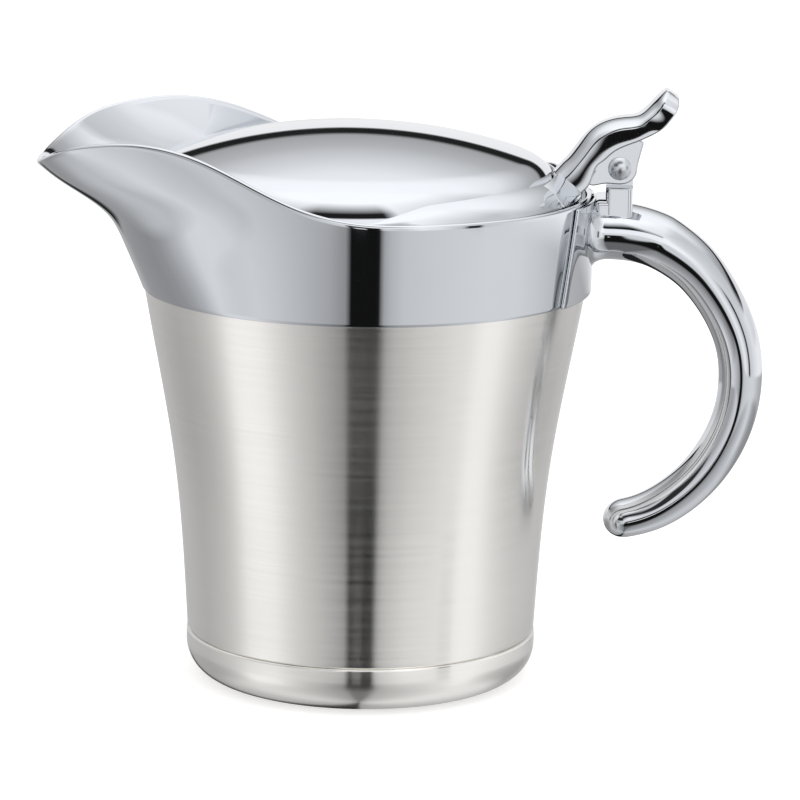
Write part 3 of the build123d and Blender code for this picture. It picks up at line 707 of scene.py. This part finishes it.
class JUG_OT_handle(bpy.types.Operator):
    """Cast handle: curved bar, saddle pad and hinge post"""

    bl_idname = "jug.handle"
    bl_label = "Handle"

    def execute(self, context):
        s = in_mm(context)
        chrome = mirror_chrome(context, "chrome plate, handle")
        pad_radius = s.rim_radius + 0.3
        root = s.bow[1] + s.bow_radius
        middle, depths, widening = map(smooth_line, (BOW_MIDDLE, BOW_DEPTH, BOW_WIDENING))
        stations = []
        for k in range(BOW_STEPS + 1):
            turn = BOW_START + (BOW_END - BOW_START) * k / BOW_STEPS
            x, z = arc(s.bow, middle(turn), turn, turn, 1)[0]
            stations.append((x, z, depths(turn), s.bar_width + widening(turn)))
        # The root runs on in one even curve and lands level on the saddle pad
        last = stations[-1]
        goal = (pad_radius + ROOT_FILLET, root + 0.8, ROOT_DEPTH, ROOT_WIDTH)
        span = hypot(last[0] - goal[0], last[1] - goal[1])
        leaving = (-sin(radians(BOW_END)) * span, cos(radians(BOW_END)) * span, 0.0, 0.0)
        landing = (-span, 0.0, 0.0, 0.0)
        for k in range(1, ROOT_STEPS + 1):
            stations.append(tuple(hermite(k / ROOT_STEPS, *ends)
                                  for ends in zip(last, goal, leaving, landing)))

        def section(place, ahead, depth, width):
            """Oval across the bar. ahead is the way the bar runs at that place."""
            out = Vector((ahead.z, 0, -ahead.x)).normalized()
            turns = [2 * pi * k / BAR_SIDES for k in range(BAR_SIDES)]
            return [place + out * (depth / 2 * sin(t)) + Vector((0, width / 2 * cos(t), 0))
                    for t in turns]

        rings = []
        first, second = (Vector((x, 0, z)) for x, z, *_ in stations[:2])
        start_way = (second - first).normalized()
        _, _, depth, width = stations[0]
        for k in range(TIP_STEPS, 0, -1):
            roll = pi / 2 * k / (TIP_STEPS + 0.4)
            rings.append(section(first - start_way * (s.bar_depth / 2 * sin(roll)), start_way,
                                 depth * cos(roll), width * cos(roll)))
        for k, (x, z, depth, width) in enumerate(stations):
            before = stations[max(k - 1, 0)]
            after = stations[min(k + 1, len(stations) - 1)]
            ahead = Vector((after[0] - before[0], 0, after[1] - before[1])).normalized()
            ring = section(Vector((x, 0, z)), ahead, depth, width)
            # Towards the pad the ovals wrap round the collar
            wrap = eased((k - BOW_STEPS) / ROOT_STEPS)
            for point in ring:
                point.x += (sqrt(x ** 2 - point.y ** 2) - x) * wrap
            rings.append(ring)
        # A fillet spreads the root on to the pad, and the last ring sinks into it
        for k in range(1, FILLET_STEPS + 1):
            roll = pi / 2 * k / FILLET_STEPS
            grow = 1 - cos(roll)
            radius = pad_radius + ROOT_FILLET * (1 - sin(roll))
            ring = section(Vector((0, 0, goal[1])), Vector((-1, 0, 0)), ROOT_DEPTH + 4.4 * grow,
                           ROOT_WIDTH + 12.0 * grow)
            for point in ring:
                point.x = sqrt(radius ** 2 - point.y ** 2)
            rings.append(ring)
        rings.append([point - Vector((0.6, 0, 0)) for point in rings[-1]])
        add_piece("handle_bar_cast", skin(rings), chrome, "jug", "handle")

        pad_top = s.rim_height - 0.8
        low_half, top_half = 28.0, 22.5
        slope = s.rim_lean / (0.8 * s.tip_rise)

        def pad_place(across, along):
            z = s.seam_height + (pad_top - s.seam_height) * along
            radius = s.collar_foot + 0.05 + slope * (z - s.seam_height)
            y = across * (low_half + (top_half - low_half) * along)
            return Vector((sqrt(radius ** 2 - y ** 2), y, z))

        pad = wrapped_plate(pad_place, 48, 16, 0.95, 0.35)
        add_piece("handle_pad_cast", pad, chrome, "jug", blocky=True)

        # Post: a block up to the rim, a skirt on the pad's side and the pin's round knuckle
        post_x = s.pin_reach + 0.05
        post_top = s.rim_height + 2.7
        knuckle_half_depth, knuckle_half_width = 3.55, 4.9
        bm = bmesh.new()
        block(bm, (7.1, 16.0, post_top - root), (post_x, 0, (post_top + root) / 2))
        bevelled(bm, [e for e in bm.edges if abs(e.verts[0].co.z - e.verts[1].co.z) > 1.0],
                 1.2, 6)
        bevelled(bm, [e for e in bm.edges if all(v.co.z > post_top - 0.01 for v in e.verts)],
                 0.45, 3)
        skirt = block(bm, (6.0, 15.8, 6.0), (post_x - 3.5, 0, s.rim_height - 3.6))
        upper = dict.fromkeys(
            e for v in skirt for e in v.link_edges if v.co.z > s.rim_height - 2.0)
        bevelled(bm, list(upper), 1.4, 6)
        near, far = post_x - knuckle_half_depth, post_x + knuckle_half_depth
        knuckle = [(near, root), (near, s.pin_height)]
        knuckle += arc((s.pin_reach, s.pin_height), 3.6, 180, 0, 24)[1:-1]
        knuckle += [(far, s.pin_height), (far, root)]
        slab(bm, knuckle, -knuckle_half_width, 2 * knuckle_half_width)
        add_piece("hinge_post_cast", bm, chrome, "jug", blocky=True)
        return {"FINISHED"}


class JUG_OT_hinge_pin(bpy.types.Operator):
    """Hinge pin with a domed rivet head at each end"""

    bl_idname = "jug.hinge_pin"
    bl_label = "Hinge pin"

    def execute(self, context):
        s = in_mm(context)
        seat, rise, shank = 8.1, 1.5, 1.6
        ball = (s.rivet_radius ** 2 + rise ** 2) / (2 * rise)
        edge = degrees(asin(s.rivet_radius / ball))
        half = [(0.0, seat + rise)]
        half += arc((0.0, seat + rise - ball), ball, 90, 90 - edge, 12)[1:-1]
        half += [(s.rivet_radius - 0.03, seat + 0.06), (s.rivet_radius - 0.1, seat),
                 (shank, seat)]
        bm = spun(half + [(x, -z) for x, z in half[::-1]], steps=64)
        bmesh.ops.rotate(bm, cent=(0, 0, 0), matrix=Matrix.Rotation(pi / 2, 3, "X"),
                         verts=bm.verts)
        bmesh.ops.translate(bm, vec=(s.pin_reach, 0, s.pin_height), verts=bm.verts)
        hammered = mirror_chrome(context, "chrome plate, hammered rivet", 9.0)
        add_piece("hinge_pin_riveted", bm, hammered, "jug", "hinge_pin")
        return {"FINISHED"}


# Lid

class JUG_OT_lid(bpy.types.Operator):
    """Lid: domed skin, sloping rear flange and the pressed plug under them"""

    bl_idname = "jug.lid"
    bl_label = "Lid"

    def execute(self, context):
        s = in_mm(context)
        chrome = mirror_chrome(context, "chrome plate, lid")
        sheet, dome_centre, plug_centre = 0.8, -4.0, -1.6
        # A wide crown turns over into a tighter bend at the dome's edge
        crown, start = 152.0, s.dome_radius - 10.3
        centre_z = s.dome_height - crown
        slope = start / crown
        bend = (s.dome_radius - start) / (1.0 - slope)
        bend_x = s.dome_radius - bend
        bend_z = centre_z + (crown - bend) * sqrt(1.0 - slope ** 2)
        turn_over = 90.0 - degrees(asin(slope))

        def half(inset):
            edge = degrees(asin((s.dome_edge - bend_z) / (bend - inset)))
            points = arc((0, centre_z), crown - inset, 90, turn_over, 40)
            return points + arc((bend_x, bend_z), bend - inset, turn_over, edge, 24)[1:]

        outer, inner = half(0.0), half(sheet)
        lip = arc((outer[-1][0] - sheet / 2, s.dome_edge), sheet / 2, 0, -180, 8)[1:-1]
        dome = spun(outer + lip + inner[::-1], centre=dome_centre, steps=320)

        # The flange slopes up from the rim to the dome and bulges a little on the way
        rim, low = s.flange_foot, s.rim_height
        foot, top = Vector((rim, low)), Vector((s.flange_top, low + 5.2))
        bulge = Vector((2.0, 2.0))
        strip = [tuple(foot.lerp(top, k / 20) + bulge * (k / 20 * (1 - k / 20)))
                 for k in range(21)]
        under = [(x - 0.5, z - sheet) for x, z in strip[::-1]]
        fold = arc((rim - 0.25, low - 0.4), 0.45, -130, 25, 6)
        flange = spun(strip + under[:-1] + fold, closed=True, steps=200, start=-87.0, angle=174.0)
        # It dies out into the rim towards its two ends
        for vert in flange.verts:
            turn = degrees(abs(atan2(vert.co.y, vert.co.x)))
            outer_edge = Vector((vert.co.x, vert.co.y, 0.0)).normalized() * (rim - 0.3)
            outer_edge.z = low - 0.2
            vert.co = outer_edge.lerp(vert.co, max(eased((88.5 - turn) / 20.0), 0.06))
        add_piece("lid_dome_plated", dome, chrome, "lid", "lid_dome")
        add_piece("lid_flange_plated", flange, chrome, "lid")

        bottom, radius = s.shelf_height + 0.3, s.rim_radius - 7.2
        edge = s.dome_edge
        plug = rounded([(0, bottom, 0), (radius, bottom, 1.6), (radius, edge + 0.6, 0.2),
                        (radius - sheet, edge + 0.6, 0.2), (radius - sheet, bottom + sheet, 0.8),
                        (0, bottom + sheet, 0)])
        bm = spun(plug, centre=plug_centre, steps=192)
        plate = s.dome_radius - 1.25
        ring = [(radius - 1.2, edge), (plate, edge), (plate - 0.2, edge + sheet),
                (radius - 1.2, edge + sheet)]
        spun(ring, closed=True, centre=dome_centre, steps=192, bm=bm)
        add_piece("lid_underside_drawn", bm, drawn_stainless(context), "lid", "lid_pan")
        return {"FINISHED"}


# Stations along the lever, from the hinge pin: top edge (x, z), bottom edge (x, z), share of
# the half width, height of the crown in mm, and how square its shoulders are
LEVER_STATIONS = [
    ((-15.6, -3.3), (-10.7, -7.1), 1.0, 2.2, 2.6),
    ((-13.6, -1.4), (-7.9, -4.5), 1.0, 2.5, 2.6),
    ((-12.0, 0.5), (-6.6, -0.9), 1.0, 2.6, 2.6),
    ((-9.4, 4.0), (-4.6, 1.7), 1.0, 2.4, 2.6),
    ((-6.7, 7.5), (-2.8, 3.3), 1.0, 2.2, 2.6),
    ((-3.4, 9.9), (-0.9, 4.8), 1.0, 1.9, 3.0),
    ((1.2, 11.3), (2.5, 6.4), 1.0, 1.6, 3.4),
    ((4.7, 12.0), (6.1, 7.9), 1.0, 1.5, 3.4),
    ((6.9, 13.6), (10.3, 10.2), 1.0, 1.4, 3.0),
    ((9.7, 16.4), (13.5, 13.7), 0.97, 1.6, 2.6),
    ((11.1, 19.0), (15.0, 16.4), 0.82, 0.7, 2.6),
    ((11.9, 20.2), (15.1, 18.1), 0.52, 0.2, 2.6),
]
# Free edge of the lever's ears, from under the arm round the pin, as offsets from the pin
EAR_EDGE = [
    (6.2, 7.0), (5.6, 4.7), (5.1, 2.7), (4.7, 0.8), (4.5, -0.9), (3.8, -2.5), (2.4, -3.7),
    (0.6, -4.2), (-1.4, -4.2), (-3.2, -4.1), (-5.2, -4.4), (-7.2, -4.7), (-8.6, -4.0),
]


class JUG_OT_lever(bpy.types.Operator):
    """Thumb lever: crowned arm, wings on the lid and two ears on the hinge pin"""

    bl_idname = "jug.lever"
    bl_label = "Thumb lever"

    def execute(self, context):
        s = in_mm(context)
        chrome = mirror_chrome(context, "chrome plate, lever")
        rows = [[*high, *low, width * s.lever_half, crown, square]
                for high, low, width, crown, square in LEVER_STATIONS]
        places = [0.0]
        for before, after in zip(rows, rows[1:]):
            places.append(places[-1] + hypot(after[0] - before[0], after[1] - before[1]))
        lines = [smooth_line(list(zip(places, column))) for column in zip(*rows)]
        pin = Vector((s.pin_reach, 0, s.pin_height))

        def section(place):
            top_x, top_z, low_x, low_z, half, crown, square = [line(place) for line in lines]
            foot = pin + Vector((low_x, 0, low_z))
            up = Vector((top_x - low_x, 0, top_z - low_z))
            height = up.length
            up.normalize()
            crown = max(crown, 0.2)
            round_low = min(0.3, height / 4)
            outline = [(0.0, 0.0), (half - 0.5, 0.0)]
            outline += arc((half - round_low, round_low), round_low, -90, 0, 5)
            outline += [(half, round_low + 0.12), (half, height - 0.95),
                        (half - 0.02, height - 0.82)]
            outline += [(half - 0.26, height - 0.38), (half - 0.33, height - 0.3)]
            for k in range(1, 17):
                t = 1.0 - k / 16
                y = (half - 0.45) * t
                outline.append((y, height + crown * (1.0 - t ** square) - 0.15 * (t ** 8)))
            outline += [(-y, v) for y, v in outline[-2:0:-1]]
            return [foot + Vector((0, y, 0)) + up * v for y, v in outline]

        arm = skin([section(places[-1] * k / 90) for k in range(91)])
        add_piece("lever_arm_cast", arm, chrome, "lid", "lid_lever")

        def wing_place(across, along):
            """Point on the wings, which lie on the flange and sink into it at their ends."""
            radius = s.flange_foot + 0.7 + (s.flange_top - s.flange_foot) * along
            z = s.rim_height + 1.3 + 5.0 * along + 2.0 * along * (1 - along)
            turn = radians(24.0) * across
            return Vector((radius * cos(turn), radius * sin(turn), z - 1.5 * abs(across) ** 3))

        wings = wrapped_plate(wing_place, 48, 6, 0.7, 0.3)
        add_piece("lever_wings_cast", wings, chrome, "lid", blocky=True)

        # An ear's hidden edge runs through the middle of the arm, its free edge round the pin
        hidden = [((low[0] + high[0]) / 2, (low[1] + high[1]) / 2)
                  for high, low, *_ in LEVER_STATIONS[3:7]]
        reach, height = (smooth_line(list(enumerate(line))) for line in zip(*EAR_EDGE))
        free = [(reach(k / 4), height(k / 4)) for k in range(4 * len(EAR_EDGE) - 3)]
        blade = [(pin.x + x, pin.z + z) for x, z in (LEVER_STATIONS[2][1], *hidden, *free)]
        ear_gap, ear_thickness = 5.5, 2.5
        bm = bmesh.new()
        for side in (-1, 1):
            slab(bm, blade, side * ear_gap, side * ear_thickness)
        bevelled(bm, sharp_edges(bm, 70.0), 0.35, 3)
        add_piece("lever_ears_cast", bm, chrome, "lid", blocky=True)
        return {"FINISHED"}


class JUG_OT_hidden_parts(bpy.types.Operator):
    """Finishes for the small and hidden parts that keep their solids"""

    bl_idname = "jug.hidden_parts"
    bl_label = "Hidden parts"

    def execute(self, context):
        polished = mirror_chrome(context, "stainless steel, turned and polished")
        finishes = {
            "inner_base": drawn_stainless(context), "port_bead": melted_solder(),
            "getter": pressed_powder(), "collar_seal": moulded_silicone(context),
            "handle_screws": polished, "hinge_washers": polished, "lever_screws": polished,
        }
        for name, finish in finishes.items():
            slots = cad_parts[name].data.materials
            slots.clear()
            slots.append(finish)
        return {"FINISHED"}


# Stage

CAMERA_SIDE = radians(3.0)     # how far round the jug the camera stands
CAMERA_PLACE = (0.05822, -1.11082, 0.31367)
CAMERA_TURN = CAMERA_SIDE - 0.0088
CAMERA_DOWN = 0.2115
CAMERA_ROLL = 0.0152

WHITE = (1.0, 1.0, 1.0, 1.0)
ROOM_GREY = (0.9, 0.9, 0.9, 1.0)
SKY = (1.6, 1.6, 1.6, 1.0)
SKY_SPAN = (45, 68)            # the sky takes over between these heights in degrees
BEHIND_SPAN = (-2, 2)          # and the wall behind between these,
BEHIND_SIDES = (95.0, 115.0)   # this many degrees round from the camera's side
BLUISH = 1.01                  # how much more blue than red the cards throw back

# Greys of the cards round the jug, as degrees from the camera's side and grey. They stand in
# bands by height: each takes over from the one below it between two heights in degrees.
LEVEL_LEFT = [(-180, 0.9), (-120, 0.8), (-70, 0.55), (-45, 0.55), (-25, 0.9)]
LEVEL_RIGHT = [
    (18, 0.95), (28, 1.3), (38, 1.2), (50, 0.8), (53, 0.05), (59, 0.05), (62, 0.9), (97, 1.2),
    (120, 1.3), (150, 1.1), (180, 0.95),
]
CARDS_BELOW = [
    (-169, 0.02), (-164, 0.5), (-140, 0.52), (-105, 0.75), (-90, 0.8), (-62, 0.7), (-40, 0.55),
    (-21, 0.42), (-10, 0.36), (-6, 0.2), (6, 0.2), (13, 0.46), (40, 0.62), (61, 0.75),
    (86, 0.9), (124, 0.85), (160, 0.6), (180, 0.4),
]
CARD_BANDS = [
    (-44, -33, [
        (-164, 0.02), (-158, 0.42), (-122, 0.4), (-108, 0.45), (-98, 0.55), (-90, 0.7),
        (-79, 1.04), (-70, 1.08), (-60, 1.03), (-48, 0.8), (-40, 0.65), (-31, 0.52), (-19, 0.34),
        (-11, 0.2), (-9, 0.01), (8, 0.01), (12, 0.32), (17, 0.46), (30, 0.6), (45, 0.72),
        (58, 0.86), (70, 1.0), (79, 0.98), (88, 0.8), (96, 0.65), (106, 0.53), (118, 0.44),
        (145, 0.36), (165, 0.5)]),
    (-20, -17, [
        (-150, 0.5), (-119, 0.48), (-90, 0.7), (-64, 0.95), (-55, 0.98), (-46, 0.9),
        (-32, 0.74), (-18, 0.58), (-9, 0.4), (-7.8, 0.01), (7, 0.01), (9.5, 0.55), (13, 0.72),
        (20, 0.87), (36, 0.95), (65, 1.03), (85, 1.02), (100, 0.9), (119, 0.72), (154, 0.5),
        (180, 0.65)]),
    # The dark stripe in front has a bright gap, which the lever's ears and the post mirror
    (-11.5, -10.5, [
        *LEVEL_LEFT, (-9, 1.0), (-7.8, 0.01), (-5.8, 0.01), (-5.2, 1.1), (0.0, 1.1), (0.6, 0.01),
        (7, 0.01), (9, 1.0), *LEVEL_RIGHT]),
    (-7, -6.4, [*LEVEL_LEFT, (-9, 1.0), (-7.8, 0.01), (7, 0.01), (9, 1.0), *LEVEL_RIGHT]),
    (0, 4, [*LEVEL_LEFT, (-10, 1.1), (8, 1.1), *LEVEL_RIGHT]),
    (11, 15, [
        (-180, 0.9), (-60, 0.8), (-50, 0.04), (-20, 0.04), (-12, 1.3), (15, 1.4), (30, 1.5),
        (38, 1.3), (46, 1.1), (60, 1.0), (87, 0.9), (100, 0.9), (115, 0.6), (126, 0.6),
        (150, 1.0), (180, 0.9)]),
    (34, 37, [
        (-38, 0.9), (-24, 0.02), (21, 0.02), (31, 1.3), (60, 1.0), (87, 0.9), (100, 0.9),
        (126, 0.6), (140, 0.9)]),
]
# Greys of the wall behind, by degrees of height
CARDS_BEHIND = [
    (-90, 0.8), (0, 1.0), (12, 1.1), (13, 0.02), (17.5, 0.02), (19.5, 0.5), (27, 0.66),
    (31, 0.82), (36, 1.0), (42, 1.25), (50, 1.4), (57, 1.5), (90, 1.6),
]


def studio_world():
    """White room with grey and black cards round the jug. Plain light falls on everything, and
    polished metal mirrors the cards: one dark card in front, a dark strip behind."""
    world = bpy.data.worlds.new("studio")
    world.use_nodes = True
    tree = world.node_tree
    # How far round from the camera's side a direction points, and how high, both from 0 to 1
    way = add_node(tree, "TexCoord", {}, "Generated")
    turned = add_node(tree, "Mapping", {"Vector": way, "Rotation": (0.0, 0.0, -CAMERA_SIDE)})
    parts = add_node(tree, "SeparateXYZ", {0: turned}).node.outputs
    front = add_node(tree, "Math", {0: parts["Y"], 1: -1.0}, operation="MULTIPLY")
    turn = add_node(tree, "Math", {0: parts["X"], 1: front}, operation="ARCTAN2")
    side = add_node(tree, "Math", {0: turn, 1: 0.5 / pi, 2: 0.5}, operation="MULTIPLY_ADD")
    rise = add_node(tree, "Math", {0: parts["Z"]}, operation="ARCSINE")
    height = add_node(tree, "Math", {0: rise, 1: 1.0 / pi, 2: 0.5}, operation="MULTIPLY_ADD")

    rounds = [(side, 180, table) for table in (CARDS_BELOW, *(band[2] for band in CARD_BANDS))]
    colours = []
    for place, reach, table in (*rounds, (height, 90, CARDS_BEHIND)):
        colour = add_node(tree, "ValToRGB", {"Fac": place})
        stops = [((angle + reach) / (2 * reach), grey) for angle, grey in table]
        elements = colour.node.color_ramp.elements
        for spot, _ in stops[2:]:
            elements.new(spot)
        for element, (spot, grey) in zip(elements, stops):
            element.position = spot
            element.color = (grey, grey, grey * BLUISH, 1.0)
        colours.append(colour)
    seen, *bands, behind = colours

    shares = [add_node(tree, "MapRange", {"Value": height, "From Min": 0.5 + start / 180,
                                          "From Max": 0.5 + end / 180})
              for start, end in (*(band[:2] for band in CARD_BANDS), SKY_SPAN, BEHIND_SPAN)]
    apart = add_node(tree, "Math", {0: turn}, operation="ABSOLUTE")
    past = add_node(tree, "MapRange", {"Value": apart, "From Min": radians(BEHIND_SIDES[0]),
                                       "From Max": radians(BEHIND_SIDES[1])})
    away = add_node(tree, "Math", {0: shares.pop(), 1: past}, operation="MULTIPLY")
    ray = add_node(tree, "LightPath", {}).node.outputs
    matt = add_node(tree, "Math", {0: 1.0, 1: ray["Is Glossy Ray"]}, operation="SUBTRACT")
    shown = add_node(tree, "Math", {0: ray["Is Camera Ray"], 1: ray["Is Transmission Ray"]},
                     operation="MAXIMUM")
    # Each colour takes over from what is below it. Only mirrored rays see the cards.
    layers = [*zip(shares, [*bands, SKY]), (away, behind), (matt, ROOM_GREY), (shown, WHITE)]
    for share_above, colour in layers:
        seen = add_node(tree, "Mix", {0: share_above, 6: seen, 7: colour}, 2, data_type="RGBA")
    fill_inputs(tree, tree.nodes["Background"], {"Color": seen, "Strength": 1.0})
    return world


def floor_material(context):
    """Seamless paper sweep: even, matt and nearly white, with the jug's soft shadow on it and
    fibre clouds of 2.5 mm."""
    look = context.scene.jug_finish
    material, tree, shader, _ = new_surface(
        "paper sweep, matt white", tones(look.floor, 0.985, 1.0), (0.85, 0.95), patches, 2.5)
    ray = add_node(tree, "LightPath", {}, "Is Camera Ray")
    glow = add_node(tree, "Math", {0: ray, 1: 0.4}, operation="MULTIPLY")
    fill_inputs(tree, shader, {
        "Specular IOR Level": 0.1, "Emission Color": WHITE, "Emission Strength": glow})
    return material


class JUG_OT_stage(bpy.types.Operator):
    """Pale floor, soft light and the camera"""

    bl_idname = "jug.stage"
    bl_label = "Stage"

    def execute(self, context):
        bm = bmesh.new()
        bmesh.ops.create_circle(bm, cap_ends=True, segments=96, radius=6.0)
        floor = mesh_object("floor", bm, floor_material(context))
        floor.visible_glossy = False

        lamp = bpy.data.lights.new("soft box", "AREA")
        lamp.shape = "DISK"
        lamp.size = 1.6
        lamp.energy = 4.0
        box = new_object("soft box", lamp)
        box.location = (0.3, -0.4, 1.6)
        box.rotation_euler = (radians(-14.0), radians(11.0), 0.0)
        box.visible_glossy = False

        camera = bpy.data.cameras.new("camera")
        camera.lens = 191.1
        camera.sensor_width = 36.0
        camera.clip_start, camera.clip_end = 0.05, 50.0
        eye = new_object("camera", camera)
        eye.matrix_world = (
            Matrix.Translation(CAMERA_PLACE) @ Matrix.Rotation(CAMERA_TURN, 4, "Z")
            @ Matrix.Rotation(pi / 2 - CAMERA_DOWN, 4, "X") @ Matrix.Rotation(CAMERA_ROLL, 4, "Z")
        )
        context.scene.camera = eye
        context.scene.world = studio_world()
        context.scene.view_settings.view_transform = "Standard"
        return {"FINISHED"}


OPERATORS = (
    JUG_OT_stage, JUG_OT_body, JUG_OT_liner, JUG_OT_collar, JUG_OT_handle, JUG_OT_hinge_pin,
    JUG_OT_lid, JUG_OT_lever, JUG_OT_hidden_parts,
)


class JUG_PT_sidebar(bpy.types.Panel):
    """Lists the jug's pieces, sizes and colours"""

    bl_idname = "JUG_PT_sidebar"
    bl_label = "Sauce jug"
    bl_space_type = "VIEW_3D"
    bl_region_type = "UI"
    bl_category = "Jug"

    def draw(self, context):
        for operator in OPERATORS:
            self.layout.operator(operator.bl_idname)
        for group in (context.scene.jug_sizes, context.scene.jug_finish):
            column = self.layout.column()
            for name in type(group).__annotations__:
                column.prop(group, name)


CLASSES = (JugSizes, JugFinish, *OPERATORS, JUG_PT_sidebar)


def register():
    for made in CLASSES:
        bpy.utils.register_class(made)
    bpy.types.Scene.jug_sizes = PointerProperty(type=JugSizes)
    bpy.types.Scene.jug_finish = PointerProperty(type=JugFinish)


def unregister():
    del bpy.types.Scene.jug_finish
    del bpy.types.Scene.jug_sizes
    for made in reversed(CLASSES):
        bpy.utils.unregister_class(made)


def main():
    register()
    bpy.ops.jug.stage()
    bpy.ops.jug.body()
    bpy.ops.jug.liner()
    bpy.ops.jug.collar()
    bpy.ops.jug.handle()
    bpy.ops.jug.hinge_pin()
    bpy.ops.jug.lid()
    bpy.ops.jug.lever()
    bpy.ops.jug.hidden_parts()


if __name__ == "__main__":
    main()
